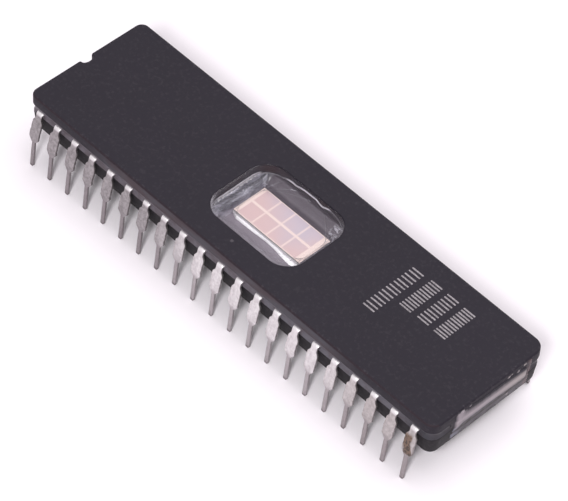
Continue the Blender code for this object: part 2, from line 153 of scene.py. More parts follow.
class Paint(Graph):
    """One material: its nodes and the principled shader that they feed."""

    def __init__(self, name, **fixed):
        self.material = bpy.data.materials.new(name)
        self.material.use_nodes = True
        super().__init__(self.material.node_tree)
        self.shader = self.nodes["Principled BSDF"]
        self.set(**fixed)
        where = self.node("TexCoord", {}, {}, "Object")
        self.mm = self.vector("SCALE", where, scale=1 / MM)

    def set(self, **wanted):
        for name, value in wanted.items():
            self.feed(self.shader.inputs[name.replace("_", " ").title().replace("Ior", "IOR")], value)

    def vector(self, operation, left, right=None, scale=None):
        sockets = {0: left}
        if right is not None:
            sockets[1] = right
        if scale is not None:
            sockets["Scale"] = scale
        return self.node("VectorMath", {"operation": operation}, sockets)

    def axes(self):
        node = self.node("SeparateXYZ", {}, {0: self.mm})
        return [Signal(self, out) for out in node.socket.node.outputs]

    def noise(self, scale, detail=3.0, roughness=0.55, stretch=None, distortion=0.0):
        """Clouds with this many features a millimetre, and more along an axis stretched over 1."""
        where = self.mm if stretch is None else self.vector("MULTIPLY", self.mm, stretch)
        sockets = {"Vector": where, "Scale": scale, "Detail": detail}
        sockets.update(Roughness=roughness, Distortion=distortion)
        return self.node("TexNoise", {}, sockets)

    def cells(self, scale):
        """The distance to the nearest of many scattered points."""
        return self.node("TexVoronoi", {}, {"Vector": self.mm, "Scale": scale}, "Distance")

    def mark(self, name):
        """A value stored on the mesh's points."""
        return self.node("Attribute", {"attribute_name": name}, {}, "Fac")

    def mix(self, share, left, right):
        """The left colour where share is 0, the right one where it is 1."""
        settings = {"data_type": "RGBA", "clamp_factor": True}
        return self.node("Mix", settings, {0: share, 6: left, 7: right}, 2)

    def bump(self, height, depth_mm, strength=1.0):
        return self.node("Bump", {}, {"Height": height, "Distance": depth_mm * MM, "Strength": strength})


# Mesh helpers
def spread(low, high, steps):
    """Evenly spaced values from low to high."""
    return [low + (high - low) * i / steps for i in range(steps + 1)]


def smoothstep(low, high, x):
    share = min(1.0, max(0.0, (x - low) / (high - low)))
    return share * share * (3 - 2 * share)


def table(pairs, x):
    """The value at x in a list of (x, value) pairs, straight between them."""
    if x <= pairs[0][0]:
        return pairs[0][1]
    for (x0, v0), (x1, v1) in zip(pairs, pairs[1:]):
        if x <= x1:
            return v0 + (v1 - v0) * (x - x0) / (x1 - x0)
    return pairs[-1][1]


def rough(x, y, z, size, seed=0.0):
    """Smooth noise from -1 to 1, with features of about this size."""
    return noise.noise(Vector((x / size + seed, y / size - seed, z / size + 2 * seed)))


class Skin:
    """A mesh under construction, in millimetres, with values stored on its points."""

    def __init__(self, *marks):
        self.bm = bmesh.new()
        self.layers = {name: self.bm.verts.layers.float.new(name) for name in marks}

    def point(self, place, **marks):
        vert = self.bm.verts.new(Vector(place) * MM)
        for name, value in marks.items():
            vert[self.layers[name]] = value
        return vert

    def ring(self, points, **marks):
        return [self.point(place, **marks) for place in points]

    def stack(self, rings):
        """Walls between closed rings of as many points each."""
        for near, far in zip(rings, rings[1:]):
            for i in range(len(near)):
                j = (i + 1) % len(near)
                self.bm.faces.new((near[i], near[j], far[j], far[i]))

    def grid(self, rows):
        """A surface between open rows of as many points each."""
        for near, far in zip(rows, rows[1:]):
            for i in range(len(near) - 1):
                self.bm.faces.new((near[i], near[i + 1], far[i + 1], far[i]))

    def lid(self, ring):
        self.bm.faces.new(ring)

    def solid(self, rings):
        """Closed rings joined by walls, with a lid on both ends."""
        self.stack(rings)
        self.lid(rings[0])
        self.lid(rings[-1])

    def plate(self, *rings):
        """A flat face bounded by one ring, or by an outer and an inner ring."""
        edges = []
        for ring in rings:
            for i, vert in enumerate(ring):
                other = ring[(i + 1) % len(ring)]
                edges.append(self.bm.edges.get((vert, other)) or self.bm.edges.new((vert, other)))
        bmesh.ops.triangle_fill(self.bm, use_beauty=True, edges=edges)

    def piece(self, name, paint, nodes, angle=40.0):
        """The finished object, in place of these nodes of the part."""
        bmesh.ops.recalc_face_normals(self.bm, faces=self.bm.faces)
        mesh = bpy.data.meshes.new(name)
        self.bm.to_mesh(mesh)
        self.bm.free()
        mesh.shade_smooth()
        mesh.set_sharp_from_angle(angle=math.radians(angle))
        mesh.materials.append(paint.material)
        made = bpy.data.objects.new(name, mesh)
        bpy.context.scene.collection.objects.link(made)
        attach(made, "root")
        if nodes:
            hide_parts(*nodes)
        return made


def bow(cx, cy, radius, start, end, steps):
    """Points along an arc, from one bearing in degrees to another."""
    turn = [math.radians(bearing) for bearing in spread(start, end, steps)]
    return [(cx + radius * math.cos(a), cy + radius * math.sin(a)) for a in turn]


def evenly(points, spacing):
    """The closed outline through points, with a point about every spacing."""
    made = []
    for i, (x, y) in enumerate(points):
        nx, ny = points[(i + 1) % len(points)]
        steps = max(1, round(math.hypot(nx - x, ny - y) / spacing))
        made += [(x + (nx - x) * k / steps, y + (ny - y) * k / steps) for k in range(steps)]
    return made


def rounded_rectangle(length, width, corner, start_corner=None, steps=10):
    """A rectangle round the origin. Its corners at -X may have a radius of their own."""
    a, b = length / 2, width / 2
    c = start_corner or corner
    return (
        bow(a - corner, -b + corner, corner, -90, 0, steps)
        + bow(a - corner, b - corner, corner, 0, 90, steps)
        + bow(-a + c, b - c, c, 90, 180, steps)
        + bow(-a + c, -b + c, c, 180, 270, steps)
    )


def body_outline(spacing=0.3):
    """The package in plan, anticlockwise, with the index notch in its -X end."""
    corner_steps = 10
    plain = rounded_rectangle(BODY_LENGTH, BODY_WIDTH, CORNER, NOTCH_END_CORNER, corner_steps)
    lip = -BODY_LENGTH / 2 + NOTCH_LIP
    half = NOTCH_RADIUS + NOTCH_LIP
    upper = bow(lip, NOTCH_Y + half, NOTCH_LIP, 180, 270, 6)
    reach = (NOTCH_DEPTH - NOTCH_LIP) / NOTCH_RADIUS
    bowl = [(lip + x * reach, y + NOTCH_Y) for x, y in bow(0.0, 0.0, NOTCH_RADIUS, 90, -90, 16)]
    lower = bow(lip, NOTCH_Y - half, NOTCH_LIP, 90, 180, 6)
    split = len(plain) - (corner_steps + 1)
    return evenly(plain[:split] + upper + bowl[1:-1] + lower + plain[split:], spacing)


def outward(points):
    """Each point of an anticlockwise outline, with the outward direction at it."""
    made = []
    for i in range(len(points)):
        ax, ay = points[i - 1]
        bx, by = points[(i + 1) % len(points)]
        size = math.hypot(bx - ax, by - ay) or 1.0
        made.append((points[i], ((by - ay) / size, -(bx - ax) / size)))
    return made


def well_outline(sizes, spacing):
    """An opening of this length, width and corner radius round the middle of the lead rows."""
    return evenly([(x + ROW_SHIFT, y) for x, y in rounded_rectangle(*sizes)], spacing)


def rim_steps(radius, steps):
    """(inset, drop) along a quarter round from the flat face to the side."""
    turn = spread(0.0, math.pi / 2, steps)
    return [(radius * (1 - math.sin(a)), radius * (1 - math.cos(a))) for a in turn]


# Finishes
def pressed_ceramic(name, tone):
    """Matt pressed alumina: fine grain, faint clouds, small pits and paler rubbed edges, with painted sheen
    and painted reflection on the cap's sides.
    """
    paint = Paint(name, specular_ior_level=0.2)
    grain = paint.noise(5.0, 3.0, 0.6)
    cloud = paint.noise(0.16, 2.0, 0.5)
    smear = paint.noise(0.5, 3.0, 0.6, stretch=(0.5, 1.4, 1.0))
    pits = paint.cells(1.1).ramp(0.07, 0.03)
    rubbed = paint.mark("rim") * paint.noise(2.6, 4.0, 0.7).ramp(0.5, 0.7)
    dark, pale, spot = [tuple(factor * c for c in tone) for factor in (0.82, 1.18, 2.4)]
    colour = paint.mix(0.1 * grain + 0.55 * cloud + 0.35 * smear, dark, pale)
    colour = paint.mix(pits * 0.2, colour, spot)
    colour = paint.mix(rubbed * 0.25, colour, (0.1087, 0.0957, 0.1102))

    # Painted sheen on the middle of the cap's sides, patchy brown and grey, under a darker painted
    # reflection along the near top edge
    x, y, z = paint.axes()
    side = z.ramp(CAP_TOP - 0.14, CAP_TOP - 0.34) * x.ramp(-20.0, -13.0) * x.ramp(19.0, 12.0)
    side *= 0.8 + 0.6 * smear
    patch = paint.noise(0.45, 3.0, 0.6, stretch=(0.6, 1.0, 2.0)).ramp(0.35, 0.65)
    flank = paint.mix(patch, (0.052, 0.036, 0.043), (0.06, 0.056, 0.068))
    colour = paint.mix(side * (z > CAP_BOTTOM - 0.1) * 0.9, colour, flank)
    # Painted reflection: a reddish-brown line along the cap's near top edge
    edge = (z - (CAP_TOP - 0.13)).size().ramp(0.14, 0.04) * (y < -6.5)
    colour = paint.mix(edge * 0.5, colour, (0.029, 0.0159, 0.0196))

    # One pale speck on the cap, beside the window
    away = paint.vector("DISTANCE", paint.mm, (-0.7, -5.6, CAP_TOP))
    speck = Signal(paint, away.socket.node.outputs["Value"]) + 0.25 * grain
    colour = paint.mix(speck.ramp(0.36, 0.2) * 0.5, colour, (0.1305, 0.116, 0.1305))
    paint.set(
        base_color=colour,
        roughness=0.55 + 0.1 * smear,
        normal=paint.bump(grain + 0.5 * smear, 0.004, 0.5),
    )
    return paint


def fused_glass():
    """Grey seal glass: dark between the plates, pale and cloudy where it is thick, with painted highlights
    on the bead and film at the +X end.
    """
    paint = Paint("seal_glass", specular_ior_level=0.12)
    thick = paint.mark("thick")
    cloud = paint.noise(1.1, 4.0, 0.6)
    grain = paint.noise(7.0, 3.0, 0.6)
    thin = paint.mix(cloud.ramp(0.3, 0.7), (0.06, 0.048, 0.056), (0.1, 0.093, 0.112))
    full = paint.mix(0.4 * grain + 0.6 * cloud, (0.27, 0.238, 0.26), (0.52, 0.458, 0.495))
    x, y, z = paint.axes()
    full = paint.mix(y.ramp(-1.0, 5.0) * 0.6, full, (0.44, 0.39, 0.355))
    near_side = x.ramp(1.0, 7.0) * (y < -7.0)
    thin = paint.mix(near_side * cloud.ramp(0.3, 0.5) * 0.7, thin, (0.078, 0.081, 0.098))
    corner = x.ramp(22.5, 25.5)
    thin = paint.mix(corner * 0.7, thin, (0.028, 0.027, 0.033))

    # The film on the +X end: a painted bluish highlight at its near end, rusty at its far end, a brown line
    # under the bead
    film = (x > 26.9) * (z < 5.9)
    thin = paint.mix(film * cloud.ramp(0.3, 0.6), thin, (0.075, 0.07, 0.08))
    # Painted highlight: a paler bluish patch at the film's near end
    thin = paint.mix(film * y.ramp(-3.2, -4.3) * cloud.ramp(0.3, 0.5), thin, (0.16, 0.16, 0.2))
    drift = y + 1.2 * cloud - 0.6
    at_end = x > 27.0
    rusty = at_end * drift.ramp(4.6, 5.2) * drift.ramp(5.9, 5.3)
    thin = paint.mix(rusty * 0.7, thin, (0.13, 0.085, 0.088))
    line = (z - 5.58 + 0.5 * cloud + 0.1 * grain).size().ramp(0.26, 0.05) * at_end
    thin = paint.mix(line * cloud.ramp(0.2, 0.4) * 0.85, thin, (0.024, 0.013, 0.014))
    paint.set(
        base_color=paint.mix(thick - 0.11 * corner, thin, full),
        roughness=0.28 + 0.2 * grain,
        normal=paint.bump(cloud, 0.03, 0.5),
    )
    return paint


def plated_sheet():
    """Dull tin plating: mottled, scuffed, darker toward the notch as painted shade and greyer toward the
    other end, with painted highlights on the shoulders and a brown stain.
    """
    paint = Paint("plated_lead")
    x, y, z = paint.axes()
    streak = paint.noise(2.2, 3.0, 0.6, stretch=(2.0, 1.0, 0.35))
    grain = paint.noise(11.0, 3.0, 0.65)
    mottle = paint.noise(3.0, 4.0, 0.65)
    patchy = mottle.ramp(0.3, 0.7)
    scuff = paint.noise(1.7, 4.0, 0.7).ramp(0.6, 0.75)
    bright = (0.4 * streak + 0.6 * mottle).ramp(0.25, 0.75)
    colour = paint.mix(bright, (0.5, 0.467, 0.478), (0.77, 0.742, 0.748))
    colour = paint.mix(scuff * 0.5, colour, (0.2912, 0.2576, 0.2688))

    # Legs darker toward the notch as painted shade, grey ones at the other end, shoulders lightened as a
    # painted highlight, and dull tips
    leg, tip = z.ramp(6.5, 6.2), z.ramp(3.6, 3.0)
    # Painted shade: the legs darker toward the notch
    painted_leg_shade = paint.mix(patchy, (0.17, 0.153, 0.158), (0.32, 0.292, 0.303))
    colour = paint.mix(x.ramp(-1.5, -10.8) * leg * 0.85, colour, painted_leg_shade)
    grey = paint.mix(patchy, (0.31, 0.28, 0.275), (0.45, 0.41, 0.405))
    colour = paint.mix(x.ramp(12.5, 19.5) * leg * 0.8, colour, grey)
    # Painted highlight: the shoulders' tops lightened
    colour = paint.mix(z.ramp(6.2, 6.5) * 0.8, colour, (0.74, 0.7, 0.722))
    colour = paint.mix(tip * 0.6, colour, (0.2688, 0.234, 0.2488))
    colour = paint.mix((z + 0.25 * grain).ramp(0.5, 0.2) * 0.7, colour, (0.1344, 0.112, 0.1176))
    colour = paint.mix(paint.mark("sheared") * (0.55 - 0.35 * tip), colour, (0.1792, 0.1568, 0.1624))

    # The fingers inside: dark under the glass, bare and bright at their ends
    inside = (z > 6.3) * (y.size() < 4.9)
    bare = (x - ROW_SHIFT).size().ramp(5.45, 5.7)
    inner = paint.mix(bare, (0.112, 0.0986, 0.121), (0.952, 0.9184, 0.96))
    colour = paint.mix(inside * 0.95, colour, inner)

    # The stain on the left half of the last near leg, with its burnt spots
    stain_x = 24.88
    fray = 0.5 * paint.noise(2.4, 4.0, 0.7)
    strip = ((x - stain_x - 0.35 * z.ramp(4.7, 3.9)).size() + fray).ramp(0.86, 0.62)
    stain = strip * (z + fray).ramp(3.5, 3.7) * (z - fray).ramp(5.6, 5.2) * (y < -7.0)
    burnt = (paint.noise(4.0, 2.0) + (z - 3.8).size() * 0.1).ramp(0.6, 0.5)
    brown = paint.mix(burnt, (0.16, 0.1, 0.07), (0.034, 0.019, 0.012))
    paint.set(
        base_color=paint.mix(stain * 0.94, colour, brown),
        metallic=(0.85 - 0.6 * stain) * (1 - 0.75 * inside),
        roughness=0.36 + 0.12 * grain + 0.08 * streak + 0.2 * stain,
        normal=paint.bump(0.4 * grain + streak + 0.5 * mottle, 0.01, 0.6),
    )
    return paint


def clear_glass():
    """The window: clear, with a smoky rim where it is fused to the ceramic, painted paler on some sides as
    a reflection.
    """
    paint = Paint("window_glass", ior=1.47)
    rim = paint.mark("rim")
    paint.set(
        base_color=paint.mix(rim, (0.104, 0.0975, 0.117), (0.442, 0.416, 0.468)),
        alpha=(0.08 + 0.42 * rim) * (1 - paint.mark("side")),
        roughness=0.03 + 0.25 * rim + 0.03 * paint.noise(1.0),
        normal=paint.bump(paint.noise(0.5, 2.0), 0.02, 0.4),
    )
    paint.material.surface_render_method = "BLENDED"
    return paint


def collar_glass():
    """The fused glass on the opening's wall: grey, with a painted highlight on the bead along its edge."""
    paint = Paint("collar_glass", roughness=0.35)
    cloud = paint.noise(1.5, 3.0)
    dull = paint.mix(cloud, (0.049, 0.042, 0.0532), (0.105, 0.0924, 0.112))
    # The lit mark paints a highlight on the bead
    paint.set(
        base_color=paint.mix(paint.mark("lit") * (0.5 + cloud), dull, (0.7, 0.672, 0.742)),
        normal=paint.bump(cloud, 0.03, 0.4),
    )
    return paint


def far_corner(paint, colour):
    """The colour with the milky smears beyond the die's far +X corner."""
    x, y = paint.axes()[:2]
    dx, dy = x - 3.85, y - 3.6
    smear = paint.noise(1.6, 4.0, 0.65, stretch=(1.0, 2.2, 1.0)).ramp(0.48, 0.62)
    return paint.mix((dx * dx + dy * dy).ramp(0.8, 0.2) * smear * 0.8, colour, (0.55, 0.53, 0.6))


def creeping_glass():
    """The glass round the fingers: wrinkled at the -X end with milky streaks that are partly painted sheen,
    plain grey elsewhere, with painted shade toward the far wall.
    """
    paint = Paint("creeping_glass", roughness=0.3)
    x, y = paint.axes()[:2]
    cloud = paint.noise(0.8, 4.0, 0.6)
    plain = paint.mix(cloud, *WELL_GREY)
    # Painted shade: darker toward the far wall
    plain = paint.mix(y.ramp(2.4, 3.2) * 0.75, plain, (0.1, 0.085, 0.103))
    plain = far_corner(paint, plain)

    # Folds across the -X end, their milky streaks partly painted sheen, with one bright streak and one dark
    # crease
    fold = paint.noise(1.1, 4.0, 0.62, stretch=(2.0, 0.55, 1.0), distortion=0.5).ramp(0.38, 0.66)
    milky = paint.mix(fold, (0.12, 0.112, 0.142), (0.6, 0.58, 0.67))
    sloping = paint.mix(fold, (0.09, 0.084, 0.108), (0.4, 0.385, 0.46))
    end = paint.mix(paint.mark("slope"), milky, sloping)
    streak = (x + 6.3 - 0.04 * y + 0.2 * cloud).size().ramp(0.24, 0.08)
    end = paint.mix(streak * 0.8, end, (0.9, 0.87, 0.94))
    crease = (x + 5.92 - 0.06 * y + 0.5 * cloud - 0.25).size().ramp(0.16, 0.05)
    end = paint.mix(crease * 0.7, end, (0.05, 0.046, 0.06))
    share = x.ramp(-5.0, -5.5) + 0.25 * x.ramp(4.6, 5.2)
    paint.set(base_color=paint.mix(share, plain, end), normal=paint.bump(0.4 * cloud + fold, 0.03, 0.5))
    return paint


def glazed_well():
    """The floor and walls round the die: ceramic under a thin grey glaze, creased at its -X end, where its
    pale streaks are partly painted sheen.
    """
    paint = Paint("glazed_well", roughness=0.4)
    colour = paint.mix(paint.noise(0.8, 4.0, 0.6), *WELL_GREY)
    x = paint.axes()[0]
    # Partly painted sheen: pale streaks across the -X end
    crease = paint.noise(1.3, 4.0, 0.7, stretch=(2.6, 0.7, 1.0)).ramp(0.35, 0.65)
    creased = paint.mix(crease, (0.18, 0.165, 0.205), (0.5, 0.48, 0.56))
    colour = paint.mix(x.ramp(-4.9, -5.2), colour, creased)
    paint.set(base_color=far_corner(paint, colour), normal=paint.bump(paint.noise(3.0, 4.0), 0.02, 0.5))
    return paint


def die_surface():
    """The die: two rows of four pink memory blocks between cream streets and pad strips."""
    paint = Paint("die_surface", roughness=0.3, specular_ior_level=0.35)
    length, width, centre_x, centre_y = DIE
    x, y, z = paint.axes()
    along, over = x - centre_x, y - centre_y
    start_strip, end_strip, side_strip = 0.48, 0.72, 0.1
    pale = (-1.0 * along - (length / 2 - start_strip)).ramp(-0.06, 0.06)
    pale = pale.at_least((along - (length / 2 - end_strip)).ramp(-0.06, 0.06))
    pale = pale.at_least((over.size() - (width / 2 - side_strip)).ramp(-0.04, 0.04))
    pale = pale.at_least((over - 0.02).size().ramp(0.2, 0.09))
    for street in (-2.1, -0.12, 1.9):
        pale = pale.at_least((along - street).size().ramp(0.16, 0.05) * 0.75)

    # The blocks, pink near the -X end and lilac along the far side, with fine rows of cells
    line = paint.noise(1.0, 2.0, 0.5, stretch=(0.3, 6.0, 1.0))
    tint = paint.noise(0.5, 2.0, 0.5)
    lilac = (over * 0.19 - (along - 1.5).size() * 0.13 + 0.6 * tint + 0.34).ramp(0.0, 0.9)
    block = paint.mix(lilac, (0.7, 0.49, 0.5), (0.575, 0.495, 0.59))
    block = paint.mix(line * 0.3, block, (0.69, 0.58, 0.555))
    rows = (along * 24.0).wave() * 0.5 + 0.5
    block = paint.mix(rows * 0.05, block, (0.35, 0.28, 0.322))
    face = paint.mix(pale * 0.9, block, (0.88, 0.72, 0.68))

    # The sawn sides: dark under the face, pale where the paste climbs them and at the +X end
    under, paste = (0.2, 0.18, 0.195), (0.68, 0.65, 0.67)
    flank = paint.mix(z.ramp(DIE_TOP - 0.08, DIE_TOP - 0.16), under, paste)
    flank = paint.mix(along.ramp(length / 2 - 0.03, length / 2 - 0.01), flank, (0.88, 0.8, 0.78))
    paint.set(base_color=paint.mix(z.ramp(DIE_TOP - 0.014, DIE_TOP - 0.03), face, flank))
    return paint


def silver_paste():
    """Dried silver paste: pale, satin, slightly lumpy."""
    paint = Paint("die_attach", roughness=0.38)
    grain = paint.noise(6.0, 3.0)
    paint.set(
        base_color=paint.mix(grain, (0.76, 0.73, 0.775), (0.86, 0.83, 0.868)),
        metallic=0.55 + 0.3 * grain,
        normal=paint.bump(paint.noise(3.0, 4.0), 0.02, 0.4),
    )
    return paint


def bond_metal():
    """The wires' metal, dull and dark."""
    paint = Paint("bond_wire", roughness=0.3, metallic=0.9)
    paint.set(base_color=paint.mix(paint.noise(4.0), (0.22, 0.21, 0.24), (0.36, 0.35, 0.38)))
    return paint


def marking_ink():
    """Pale grey ink, worn thin in places."""
    paint = Paint("marking_ink", roughness=0.6)
    wear = paint.noise(7.0, 4.0, 0.7)
    paint.set(
        base_color=paint.mix(wear, (0.29, 0.261, 0.2828), (0.4495, 0.4132, 0.435)),
        alpha=0.55 + 0.35 * wear.ramp(0.4, 0.6),
    )
    paint.material.surface_render_method = "BLENDED"
    return paint


# Ceramic plates
def plate_ring(skin, outline, inset, z, rim=0.0):
    """A ring round a pressed plate, drawn in from its outline, with a slightly wavy side."""
    waviness = 0.005
    points = []
    for (x, y), (ox, oy) in outline:
        drawn_in = inset - waviness * (rough(x, y, 0.3 * z, 1.1) - 1)
        points.append((x - ox * drawn_in, y - oy * drawn_in, z))
    return skin.ring(points, rim=rim)


def moved_ring(skin, outline, outset, z, rim=0.0):
    """A ring along an outline, moved outward by outset."""
    points = [(x + ox * outset, y + oy * outset, z) for (x, y), (ox, oy) in outline]
    return skin.ring(points, rim=rim)


def window_outline(shrink=0.0):
    """Points along the window's opening, or inside it."""
    length, width, corner, cx, cy = WINDOW
    plain = rounded_rectangle(length - 2 * shrink, width - 2 * shrink, corner - shrink, steps=14)
    return evenly([(x + cx, y + cy) for x, y in plain], 0.35)


def ceramic_cap(paint):
    """The upper plate, with its rounded edges and the window's opening."""
    skin = Skin("rim")
    outline = outward(body_outline())
    rings = [plate_ring(skin, outline, 0.12, CAP_BOTTOM)]
    for inset, drop in rim_steps(0.09, 3):
        rings.append(plate_ring(skin, outline, inset, CAP_BOTTOM + drop, 0.4))
    for inset, drop in reversed(rim_steps(0.23, 6)):
        rings.append(plate_ring(skin, outline, inset, CAP_TOP - drop, 1.0 - 0.3 * drop))
    rings.append(plate_ring(skin, outline, 0.26, CAP_TOP, 0.4))
    skin.stack(rings)
    hole = outward(window_outline())
    mouth = [moved_ring(skin, hole, 0.12, CAP_TOP, 0.3)]
    for inset, drop in rim_steps(0.1, 4):
        mouth.append(moved_ring(skin, hole, inset, CAP_TOP - drop, 0.4))
    mouth.append(moved_ring(skin, hole, 0.0, CAP_TOP - 0.15))
    mouth.append(moved_ring(skin, hole, 0.0, CAP_BOTTOM))
    skin.stack(mouth)
    skin.plate(rings[-1], mouth[0])
    skin.plate(rings[0], mouth[-1])
    skin.piece("cap", paint, ["ceramic_cap"])


def draft(depth):
    """How far the base's side stands in at this depth under its top."""
    return BASE_INSET + BASE_DRAFT * depth / (BASE_TOP - UNDERSIDE)


def ceramic_base(paint, glaze):
    """The lower plate, with its drafted side and the glazed cavity."""
    skin = Skin("rim")
    outline = outward(body_outline())
    rings = []
    for inset, rise in rim_steps(0.2, 5):
        inset += draft(BASE_TOP - UNDERSIDE - rise)
        rings.append(plate_ring(skin, outline, inset, UNDERSIDE + rise, 0.8))
    for inset, drop in reversed(rim_steps(0.1, 4)):
        rings.append(plate_ring(skin, outline, draft(drop) + inset, BASE_TOP - drop, 0.6))
    skin.stack(rings)
    pocket = outward(well_outline(CAVITY, 0.4))
    profile = ((0.06, BASE_TOP), (0.0, BASE_TOP - 0.05), (-0.04, CAVITY_FLOOR + 0.1), (-0.14, CAVITY_FLOOR))
    walls = [moved_ring(skin, pocket, outset, z) for outset, z in profile]
    skin.stack(walls)
    skin.plate(rings[-1], walls[0])
    skin.plate(walls[-1])
    skin.plate(rings[0])
    base = skin.piece("base", paint, ["ceramic_base"])
    base.data.materials.append(glaze.material)
    glazed_x, glazed_y = 6.4, 4.7
    for face in base.data.polygons:
        x, y, z = (c / MM for c in face.center)
        if z > CAVITY_FLOOR - 0.01 and abs(x - ROW_SHIFT) < glazed_x and abs(y) < glazed_y:
            face.material_index = 1


# Seal glass
def along_row(order, pitch=PITCH):
    """x of a lead in its row, from the row's middle."""
    return (order - (LEADS + 1) / 2) * pitch


def near_lead(x, y):
    """0 to 1: how close this point of the package's side is to a lead."""
    if abs(y) < BODY_WIDTH / 2 - 1:
        return 0.0
    order = round((x - ROW_SHIFT) / PITCH + (LEADS + 1) / 2)
    if not 1 <= order <= LEADS:
        return 0.0
    return smoothstep(0.75, 0.4, abs(x - ROW_SHIFT - along_row(order)))


# The bead on the +X end: its upper and lower edge as (y, z), and the face it is drawn on
BEAD_TOP = ((-4.4, 7.6), (-4.2, 8.0), (-3.6, 7.9), (-2.7, 7.66), (-1.2, 7.48), (2.2, 7.42), (4.8, 7.16))
BEAD_LOW = ((-4.4, 5.5), (-3.5, 5.75), (0.2, 5.8), (2.4, 5.62), (5.0, 5.55))
BEAD_Y, BEAD_Z = (-4.75, 5.65, 230), (4.08, 8.04, 110)

# The specks on and round it: y, z, size, height
SPECKS = ((-3.66, 7.82, 0.26, 0.16), (-2.62, 7.8, 0.2, 0.07), (2.44, 7.7, 0.24, 0.09))
SPECKS += ((2.78, 7.78, 0.2, 0.07), (3.67, 7.5, 0.28, 0.07), (4.5, 7.8, 0.22, 0.1), (2.7, 4.88, 0.26, 0.08))


def bead_height(y, z):
    """How far the glass squeezed out at the +X end stands off the end's face, and how pale it is, with a
    painted highlight along the bead's middle.
    """
    top = table(BEAD_TOP, y) + 0.06 * rough(y, 0, 0, 0.5) + 0.05 * rough(y, 0, 0, 0.2, 3.0)
    low = table(BEAD_LOW, y) + 0.04 * rough(y, 0, 0, 0.4, 6.0)
    ends = smoothstep(-4.5, -4.1, y) * smoothstep(5.2, 4.6, y)
    middle, half = (top + low) / 2, (top - low) / 2
    share = (z - middle) / half
    bulge = math.sqrt(max(0.0, 1 - share * share)) * 0.2 * ends

    # A thin film under the bead, and up the cap's side past its far end
    stray = 0.25 * rough(y, z, 0, 0.9, 8.0) + 0.12 * rough(y, z, 0, 0.3, 9.0)
    sides = smoothstep(-4.62, -4.4, y + 0.4 * stray) * smoothstep(5.55, 5.2, y + stray)
    below = smoothstep(low + 0.2, low - 0.1, z)
    below = sides * max(below, smoothstep(4.6, 4.9, y + stray) * smoothstep(7.95, 7.8, z))
    film = 0.05 * smoothstep(4.15, 4.4, z + stray) * below
    film += 0.02 * rough(y, z, 0, 0.7) * smoothstep(4.3, 4.6, z) * below

    specks = 0.0
    for speck_y, speck_z, size, tall in SPECKS:
        dy = y - speck_y + 0.13 * rough(y, z, 0, 0.16, 11.0)
        dz = z - speck_z + 0.13 * rough(y, z, 0, 0.16, 12.0)
        specks = max(specks, tall * math.exp(-2.2 * (dy**2 / 1.6 + dz**2) / size**2))
    # Painted highlight: the paleness peaks along the bead's middle
    pale = max(0.0, 1 - abs(share + 0.05) ** 1.6) * ends
    pale = max(pale, 0.8 * ends * smoothstep(-2.6, -3.8, y) * smoothstep(1.0, 0.85, abs(share)))
    pale = max(pale, 0.85 * smoothstep(0.015, 0.08, specks))
    return max(bulge, film, specks) + 0.006 * rough(y, z, 0, 0.25), pale


def end_face(z):
    """x of the ceramic's +X face at height z."""
    if z >= CAP_BOTTOM:
        return BODY_LENGTH / 2
    if z >= BASE_TOP:
        return BODY_LENGTH / 2 - 0.1
    return BODY_LENGTH / 2 - draft(BASE_TOP - z)


def well_gap(x, y):
    """How far this point of the frame opening lies outside the well's outline."""
    length, width, corner = CAVITY
    dx = max(0.0, abs(x - ROW_SHIFT) - length / 2 + corner)
    dy = max(0.0, abs(y) - width / 2 + corner)
    return math.hypot(dx, dy) - corner


def glass_apron(paint):
    """Seal glass that crept in: level with the end fingers, over the side ones, into the well."""
    skin = Skin("slope")
    inner = outward(well_outline(FRAME_OPENING, 0.12))
    top = LEAD_LEVEL + SHEET / 2 - 0.04
    profile = ((-0.1, top), (-0.03, top - 0.02), (0.1, top), (0.25, top), (0.38, top - 0.01), (0.46, 6.47))
    profile += ((0.58, 6.32), (0.75, 6.14), (0.92, 6.03), (1.0, 5.985), (1.06, 5.82), (1.13, 5.58))
    profile += ((1.2, 5.42), (1.3, 5.36))
    rows = []
    for share, level in profile:
        row = []
        for (x, y), (ox, oy) in inner:
            creep = share * well_gap(x, y) * (1 + 0.04 * rough(x, y, 0, 0.8, 5.0))
            over = 0.07 * smoothstep(0.7, 0.95, abs(oy)) * smoothstep(0.75, 0.4, share)
            ripple = 0.02 * rough(x, y, 1, 0.6) * smoothstep(1.2, 0.9, share)
            row.append((x - ox * creep, y - oy * creep, level + over + ripple))
        rows.append(skin.ring(row, slope=smoothstep(0.4, 0.62, share)))
    skin.stack(rows)
    skin.piece("glass_apron", paint, [], angle=60)


def seal_level(share):
    """The height at this share of the seal glass between the plates."""
    return BASE_TOP + 0.01 + (CAP_BOTTOM - BASE_TOP - 0.02) * share


def squeezed_bead(skin):
    """The glass on the +X end. Where the end is bare, the surface hides behind the ceramic."""
    bare, hidden = 0.012, -0.06
    rows = []
    for z in spread(*BEAD_Z):
        row = []
        for y in spread(*BEAD_Y):
            height, pale = bead_height(y, z)
            proud = height if height > bare else hidden
            row.append(skin.point((end_face(z) + proud, y, z), thick=pale))
        rows.append(row)
    skin.grid(rows)


